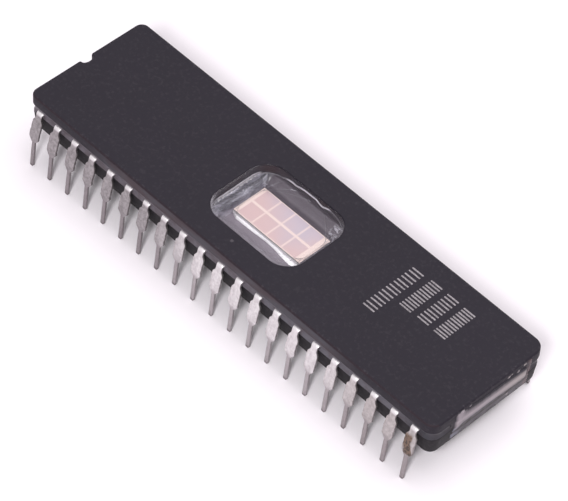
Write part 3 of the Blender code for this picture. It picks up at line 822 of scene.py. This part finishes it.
def seal_glass(paint):
    """The layer between the plates, round the frame's opening, and the bead on the +X end."""
    skin = Skin("thick")
    outline = outward(body_outline(0.16))
    rings = []
    for share in (0.0, 0.08, 0.2, 0.35, 0.5, 0.65, 0.8, 0.92, 1.0):
        z = seal_level(share)
        points = []
        for (x, y), (ox, oy) in outline:
            inset = 0.1 + 0.12 * math.sin(math.pi * share) + 0.02 * rough(x, y, z, 0.8)
            inset -= 0.07 * near_lead(x, y) * math.sin(math.pi * share)
            points.append((x - ox * inset, y - oy * inset, z))
        rings.append(skin.ring(points, thick=0.12))
    skin.stack(rings)
    inner_rings = []
    inner = outward(well_outline(FRAME_OPENING, 0.2))
    for share in (1.0, 0.75, 0.5, 0.25, 0.0):
        points = []
        for (x, y), (ox, oy) in inner:
            outset = 0.15 * rough(x, y, 0, 0.7) - 0.1 * math.sin(math.pi * share)
            points.append((x + ox * outset, y + oy * outset, seal_level(share)))
        inner_rings.append(skin.ring(points, thick=0.6))
    skin.stack(inner_rings)
    skin.plate(rings[-1], inner_rings[0])
    skin.plate(rings[0], inner_rings[-1])
    squeezed_bead(skin)
    skin.piece("seal", paint, ["seal_glass"], angle=60)


# Window
# How smoky its fused rim is, by the bearing in degrees; its paleness by bearing is a painted reflection
RIM_REFLECTION_BY_BEARING = ((0, 0.15), (35, 0.5), (60, 0.15), (90, 0.0), (135, 0.08), (180, 0.3))
RIM_REFLECTION_BY_BEARING += ((215, 1.0), (250, 0.7), (280, 0.55), (315, 0.3), (340, 0.12), (360, 0.15))

# The fused glass on the opening's wall: its height along the far side, and how strong the painted highlight
# on its edge bead is, which also sets how far the bead stands off
FAR_EDGE = ((-4.2, 7.0), (-3.3, 7.4), (-2.7, 7.51), (-2.15, 7.47), (-1.6, 7.64), (-1.1, 7.74))
FAR_EDGE += ((0.55, 7.77), (0.9, 7.57), (1.4, 7.48), (1.85, 7.66), (2.2, 7.79), (3.4, 7.5), (4.4, 7.2))
FAR_HIGHLIGHT = ((-3.6, 0.3), (-3.2, 1.0), (2.1, 1.0), (2.5, 0.12))
START_HIGHLIGHT = ((-2.8, 0.3), (-1.6, 1.0), (1.8, 0.9), (3.3, 0.3))

# The bead along that edge: depth under it, how far it stands off the wall, and how bright its painted
# highlight is
COLLAR_BEAD = ((0.26, 0.0, 0.0), (0.21, 0.06, 0.5), (0.15, 0.1, 1.0))
COLLAR_BEAD += ((0.09, 0.11, 1.0), (0.03, 0.08, 0.7), (0.0, 0.0, 0.2))


def rim_reflection_share(way):
    """How smoky the fused rim is on the side that faces this way, its paleness there a painted reflection.
    """
    return table(RIM_REFLECTION_BY_BEARING, math.degrees(math.atan2(way[1], way[0])) % 360)


def collar_top(x, y, way):
    """How far the fused glass climbs the ceramic wall round the window, and how strong the painted
    highlight on its edge is.
    """
    if way[1] > 0.5 and y > 0:
        return table(FAR_EDGE, x), table(FAR_HIGHLIGHT, x)
    if way[0] < -0.5:
        return 7.18 + 0.06 * rough(x, y, 0, 0.7, 2.0), table(START_HIGHLIGHT, y)
    return 7.35 + 0.3 * rough(x, y, 0, 1.4, 2.0), 0.3


def glass_collar(paint):
    """Seal glass that wetted the wall of the window's opening, ending in a wavy bead with a painted
    highlight.
    """
    skin = Skin("lit")
    wall = outward(evenly(window_outline(0.035), 0.12))
    foot = CAP_BOTTOM + 0.02
    rows = [skin.ring([(x, y, foot) for (x, y), way in wall], lit=0.0)]
    for below, proud, lit in COLLAR_BEAD:
        row = []
        for (x, y), way in wall:
            top, pale = collar_top(x, y, way)
            z = max(foot + 0.005 * (0.3 - below), top - below)
            out = proud * (0.4 + 0.6 * pale)
            row.append(skin.point((x - way[0] * out, y - way[1] * out, z), lit=lit * pale))
        rows.append(row)
    skin.stack(rows)
    skin.piece("glass_collar", paint, [], angle=80)


def window_lens(paint):
    """The glass plug, sunk a little at its smoky rim, which is painted paler on some sides as a reflection,
    and crowned in the middle.
    """
    skin = Skin("rim", "side")
    plain = outward(window_outline())
    rings = [moved_ring(skin, plain, -0.03, CAP_BOTTOM + 0.01)]
    rings.append(moved_ring(skin, plain, -0.015, CAP_TOP - 0.16))
    for vert in rings[0] + rings[1]:
        vert[skin.layers["side"]] = 1.0
    edge = ((-0.02, -0.03, 1.0), (-0.12, -0.055, 0.95), (-0.24, -0.06, 0.6), (-0.42, -0.05, 0.2))
    for outset, rise, rim in edge:
        ring = moved_ring(skin, plain, outset, CAP_TOP + rise)
        for vert, (place, way) in zip(ring, plain):
            # The rim's paleness by bearing is a painted reflection
            vert[skin.layers["rim"]] = rim * rim_reflection_share(way)
        rings.append(ring)
    for outset, rise in ((-0.72, -0.02), (-1.2, 0.015), (-1.7, 0.045), (-2.1, 0.055)):
        rings.append(moved_ring(skin, plain, outset, CAP_TOP + rise))
    skin.stack(rings)
    skin.lid(rings[-1])
    skin.plate(rings[0])
    skin.piece("window", paint, ["window_lens"], angle=60)


# Die
def silicon_die(paint):
    """The die, with a fine break of its upper edge."""
    length, width, cx, cy = DIE
    skin = Skin()
    outline = rounded_rectangle(length, width, 0.03, steps=2)
    rings = []
    for inset, z in ((0.0, DIE_BOTTOM), (0.0, DIE_TOP - 0.012), (0.012, DIE_TOP)):
        shorter, slimmer = 1 - 2 * inset / length, 1 - 2 * inset / width
        rings.append(skin.ring([(x * shorter + cx, y * slimmer + cy, z) for x, y in outline]))
    skin.solid(rings)
    skin.piece("die", paint, ["silicon_die"], angle=30)


# How far the paste ran out from the die's near side, along x
RUNOUT = ((-4.93, 0.0), (-4.75, 0.12), (-4.28, 0.33), (-2.4, 0.31), (-0.3, 0.21))
RUNOUT += ((1.1, 0.27), (2.1, 0.42), (3.2, 0.52), (3.7, 0.45), (4.02, 0.1))


def die_attach(paint):
    """The silver paste under the die, run out along its near side and climbing its +X end."""
    length, width, cx, cy = DIE
    skin = Skin()
    low = CAVITY_FLOOR + 0.012
    rows = []
    for share in spread(0.0, 1.0, 6):
        row = []
        for x in spread(cx - length / 2, cx + length / 2, 120):
            run = table(RUNOUT, x) + 0.012 * rough(x, 0, 0, 0.5)
            rise = (0.11 * smoothstep(0, 0.2, run)) * (1 - share**2)
            row.append((x, cy - width / 2 - 0.004 - 1.1 * run * share, low + rise))
        rows.append(skin.ring(row))
    skin.grid(rows)
    rows = []
    for share in spread(0.0, 1.0, 5):
        row = []
        for y in spread(cy - width / 2, cy + width / 2, 60):
            climb = (0.4 + 0.08 * rough(y, 0, 0, 0.6, 3.0)) * smoothstep(0, 0.12, width / 2 - abs(y - cy))
            row.append((cx + length / 2 + 0.004 + 0.1 * share, y, low + climb * (1 - share) ** 1.5))
        rows.append(skin.ring(row))
    skin.grid(rows)
    slab = rounded_rectangle(length + 0.2, width + 0.2, 0.15, steps=3)
    skin.solid([skin.ring([(x + cx, y + cy, z) for x, y in slab]) for z in (low, DIE_BOTTOM - 0.01)])
    skin.piece("paste", paint, ["die_attach"], angle=50)


# Leads, in their row's frame: the near row's, with the row's middle and the sheet's level at 0
LEVEL, SIDEWAYS = Vector((0, 0, 1)), Vector((1, 0, 0))

# Height over the ground and width, from the wide leg's knee to the narrow foot
TAPER = ((3.9, 1.27), (3.76, 1.27), (3.62, 1.27), (3.55, 1.22), (3.42, 1.03), (3.3, 0.86), (3.17, 0.66))
TAPER += ((3.05, 0.48), (3.0, 0.44), (2.0, 0.44), (1.0, 0.44), (0.1, 0.44), (0.013, 0.34))


def place_of(number):
    """A lead's order in its row, and whether that is the near row."""
    front = number <= LEADS
    return (number if front else number - LEADS), front


def from_end(order):
    """The order counted from the nearer end of the row."""
    return min(order, LEADS + 1 - order)


def row_end(order):
    return -1 if order <= LEADS // 2 else 1


def finger_tip(order):
    """The fingers near a row's ends reach for the die's ends, the others for its side."""
    if from_end(order) <= END_FINGERS:
        return Vector((row_end(order) * TIP_RING[0], -(from_end(order) - 0.5) * END_PITCH, 0.0))
    return Vector((along_row(order, SIDE_PITCH), -TIP_RING[1], 0.0))


def finger_root(order):
    return Vector((along_row(order), -ROOT, 0.0))


def lead_flare(order, front):
    """The legs' lean, more for the near row's first leads, which are sprung out."""
    share = min(1.0, max(0.0, (5 - order) / 3)) if front else 0.0
    return math.radians(13.0 + 3.0 * share)


def leg_width(drop):
    """Width of a leg at a distance under its bend's end."""
    share = min(1.0, max(0.0, (drop - NECK_DROP) / SWELL_DROP))
    return NECK_WIDTH + (LEG_WIDTH - NECK_WIDTH) * (0.5 - 0.5 * math.cos(math.pi * share))


def finger_stations(order):
    """From the finger's tip to the bend: point, across, width and the sheet's outer side."""
    tip, root = finger_tip(order), finger_root(order)
    run = (root - tip).normalized()
    across = Vector((-run.y, run.x, 0.0))
    mitre = (across + SIDEWAYS).normalized()
    bare = 0.46 if from_end(order) <= END_FINGERS else 0.28
    made = [(tip, across, bare, LEVEL), (tip + run * 0.45, across, bare, LEVEL)]
    made.append((tip.lerp(root, 0.5), across, 0.4, LEVEL))
    made.append((root, mitre, 0.5 / max(0.5, mitre.x), LEVEL))
    shoulder = ((6.35, 0.68), (6.6, SHOULDER_WIDTH), (6.9, SHOULDER_WIDTH), (BEND, SHOULDER_WIDTH))
    for y, width in shoulder:
        made.append((Vector((root.x, -y, 0)), SIDEWAYS, width, LEVEL))
    return made


def leg_stations(order, front):
    """From the bend to the foot, in the same terms."""
    x = along_row(order)
    flare = lead_flare(order, front)
    turn = math.pi / 2 - flare
    made = []
    for angle in spread(0.0, turn, 12)[1:]:
        point = Vector((x, -BEND - BEND_RADIUS * math.sin(angle), -BEND_RADIUS * (1 - math.cos(angle))))
        width = SHOULDER_WIDTH - (SHOULDER_WIDTH - NECK_WIDTH) * smoothstep(0, turn, angle)
        made.append((point, SIDEWAYS, width, Vector((0, -math.sin(angle), math.cos(angle)))))
    start, out = made[-1][0], made[-1][3]
    swollen = NECK_DROP + SWELL_DROP
    drops = [0.15, 0.3, 0.36, 0.42, 0.48, 0.55, 0.62, 0.68, 0.74, swollen]
    drops += spread(swollen, start.z - (KNEE_HEIGHT - LEAD_LEVEL), 10)[1:]
    for drop in drops:
        point = Vector((x, start.y - drop * math.tan(flare), start.z - drop))
        made.append((point, SIDEWAYS, leg_width(drop), out))
    knee = made[-1][0]
    slope = math.radians(5.2)
    out = Vector((0, -math.cos(slope), math.sin(slope)))
    for height, width in TAPER:
        z = height - LEAD_LEVEL
        made.append((Vector((x, knee.y - (knee.z - z) * math.tan(slope), z)), SIDEWAYS, width, out))
    return made


def sheet_section(point, across, width, out, seed):
    """A cross-section of the strip: corners slightly rounded, sheared sides ragged down the leg."""
    edge, thick = 0.035, SHEET / 2
    ragged = 0.05 * smoothstep(-0.6, -0.9, point.z) * smoothstep(-3.7, -3.4, point.z)
    made = []
    for sx, sz, start in ((1, 1, 0), (-1, 1, 90), (-1, -1, 180), (1, -1, 270)):
        half = width / 2 + ragged * (rough(seed, 0, point.z, 0.3, 2.5 * sx) - 0.3)
        for cx, cz in bow(0, 0, edge, start, start + 90, 2):
            place = point + across * (sx * (half - edge) + cx) + out * (sz * (thick - edge) + cz)
            made.append((place, abs(cx) / edge))
    return made


def lead(number, paint):
    """One lead, from its finger in the glass to its foot."""
    order, front = place_of(number)
    skin = Skin("sheared")
    turn = Matrix.Rotation(0.0 if front else math.pi, 3, "Z")
    home = Vector((ROW_SHIFT, 0.0, LEAD_LEVEL))
    rings = []
    for point, across, width, out in finger_stations(order) + leg_stations(order, front):
        section = sheet_section(point, across, width, out, number)
        rings.append([skin.point(turn @ place + home, sheared=edge) for place, edge in section])
    skin.solid(rings)
    name = f"lead_{number:02d}"
    skin.piece("plated_" + name, paint, [name], angle=50)


def bond_wires(paint):
    """Fine wires in low arches from the finger tips to the pads at the die's two ends."""
    length, width, cx, cy = DIE
    pad_pitch, pad_inset, arch = 0.165, 0.18, 0.48
    start_level, end_level = LEAD_LEVEL + SHEET / 2 + 0.01, DIE_TOP + 0.03
    skin = Skin()
    for number in range(1, 2 * LEADS + 1):
        order, front = place_of(number)
        flip = 1 if front else -1
        tip = finger_tip(order)
        foot = (tip + (finger_root(order) - tip).normalized() * 0.2) * flip
        pad_x = cx - ROW_SHIFT + row_end(order) * flip * (length / 2 - pad_inset)
        pad = Vector((pad_x, cy - flip * (from_end(order) - 0.5) * pad_pitch, 0.0))
        heading = (pad - foot).normalized()
        across = Vector((-heading.y, heading.x, 0.0))
        rings = []
        for share in spread(0.0, 1.0, 14):
            level = start_level + (end_level - start_level) * share**2 + arch * share * (1 - share)
            centre = foot.lerp(pad, share) + Vector((ROW_SHIFT, 0, level))
            section = bow(0, 0, WIRE_RADIUS, 0, 300, 5)
            rings.append(skin.ring([centre + (across * c + LEVEL * s) for c, s in section]))
        skin.solid(rings)
    skin.piece("bond_wires", paint, [], angle=60)


# Print: each line's x, start and end along y and count of bar pairs, then a bar's own sizes
INK_LINES = ((13.65, -1.95, 5.0, 7), (15.9, 0.6, 5.1, 6), (18.05, 0.7, 5.1, 5), (20.2, 0.7, 5.0, 6))
INK_BAR = (1.45, 0.17, 0.07)


def plain_marks(paint):
    """Four lines of plain bars in pale ink where such a chip carries its printed lines."""
    skin = Skin()
    bar = rounded_rectangle(*INK_BAR, steps=3)
    for x, start, end, count in INK_LINES:
        step = (end - start) / count
        for i in range(count):
            for place in (i + 0.27, i + 0.73):
                y = start + step * place
                skin.lid(skin.ring([(x + a + ROW_SHIFT, y + b, CAP_TOP + 0.012) for a, b in bar]))
    skin.piece("plain_marks", paint, [])


# Studio: the ground's tone and glow, its half size in metres, and the camera in millimetres and degrees
FLOOR_TONE, FLOOR_GLOW, FLOOR_REACH = (0.955, 0.91, 0.95), 0.06, 1.5
CAMERA_PLACE, CAMERA_LENS = (137.062, -147.308, 236.367), 206.56
CAMERA_AZIMUTH, CAMERA_ELEVATION, CAMERA_ROLL = 42.772, 49.2089, 4.5442


def direction(azimuth, elevation):
    """The way from the object to a lamp or camera. Azimuth 0 is -Y and 90 is +X, in degrees."""
    a, e = math.radians(azimuth), math.radians(elevation)
    return Vector((math.sin(a) * math.cos(e), -math.cos(a) * math.cos(e), math.sin(e)))


def surroundings():
    """Soft light all round, seen as white."""
    world = bpy.data.worlds.new("studio")
    bpy.context.scene.world = world
    world.use_nodes = True
    graph = Graph(world.node_tree)
    soft = graph.node("Background", {}, {"Color": (0.96, 0.86, 0.94), "Strength": 0.25})
    white = graph.node("Background", {}, {"Color": (1.0, 1.0, 1.0), "Strength": 1.0})
    both = graph.node("MixShader", {}, {0: graph.seen(), 1: soft, 2: white})
    graph.feed(graph.nodes["World Output"].inputs["Surface"], both)


def studio_floor():
    """A plain pale ground that glows a little where it is seen."""
    paint = Paint("studio_floor", base_color=FLOOR_TONE, roughness=0.7, specular_ior_level=0.1)
    glow = paint.node("Emission", {}, {"Color": (1.0, 1.0, 1.0), "Strength": 1.0})
    plain = Signal(paint, paint.shader.outputs[0])
    both = paint.node("MixShader", {}, {0: FLOOR_GLOW * paint.seen(), 1: plain, 2: glow})
    paint.feed(paint.nodes["Material Output"].inputs["Surface"], both)
    mesh = bpy.data.meshes.new("studio_floor")
    corners = ((-1, -1), (1, -1), (1, 1), (-1, 1))
    points = [(x * FLOOR_REACH, y * FLOOR_REACH, -0.00002) for x, y in corners]
    mesh.from_pydata(points, [], [(0, 1, 2, 3)])
    mesh.materials.append(paint.material)
    floor = bpy.data.objects.new("studio_floor", mesh)
    bpy.context.scene.collection.objects.link(floor)


def softbox(name, azimuth, elevation, distance, size, power):
    """A square soft lamp aimed at the package, at a distance and of a size in metres."""
    data = bpy.data.lights.new(name, "AREA")
    data.shape = "RECTANGLE"
    data.size = data.size_y = size
    data.energy = power
    lamp = bpy.data.objects.new(name, data)
    back = direction(azimuth, elevation)
    lamp.location = Vector((0, 0, 5)) * MM + back * distance
    lamp.rotation_euler = back.to_track_quat("Z", "Y").to_euler()
    bpy.context.scene.collection.objects.link(lamp)


def camera():
    """The view of the photograph."""
    back = direction(CAMERA_AZIMUTH, CAMERA_ELEVATION)
    azimuth, roll = math.radians(CAMERA_AZIMUTH), math.radians(CAMERA_ROLL)
    level = Vector((math.cos(azimuth), math.sin(azimuth), 0.0))
    right = level * math.cos(roll) + back.cross(level) * math.sin(roll)
    up = back.cross(right)
    data = bpy.data.cameras.new("camera")
    data.sensor_width = 36.0
    data.lens = CAMERA_LENS
    data.clip_start = 0.01
    made = bpy.data.objects.new("camera", data)
    turn = Matrix((right, up, back)).transposed().to_4x4()
    made.matrix_world = Matrix.Translation(Vector(CAMERA_PLACE) * MM) @ turn
    bpy.context.scene.collection.objects.link(made)
    bpy.context.scene.camera = made


ceramic_cap(pressed_ceramic("cap_ceramic", (0.0135, 0.0105, 0.0172)))
ceramic_base(pressed_ceramic("base_ceramic", (0.011, 0.0092, 0.0115)), glazed_well())
seal_glass(fused_glass())
glass_apron(creeping_glass())
window_lens(clear_glass())
glass_collar(collar_glass())
silicon_die(die_surface())
die_attach(silver_paste())
plating = plated_sheet()
for number in range(1, 2 * LEADS + 1):
    lead(number, plating)
bond_wires(bond_metal())
plain_marks(marking_ink())
surroundings()
studio_floor()
softbox("overhead", 168, 76, 0.8, 0.9, 5.2)
softbox("front", 31, 46, 0.5, 0.09, 1.6)
camera()

view = bpy.context.scene.view_settings
view.view_transform = "Standard"
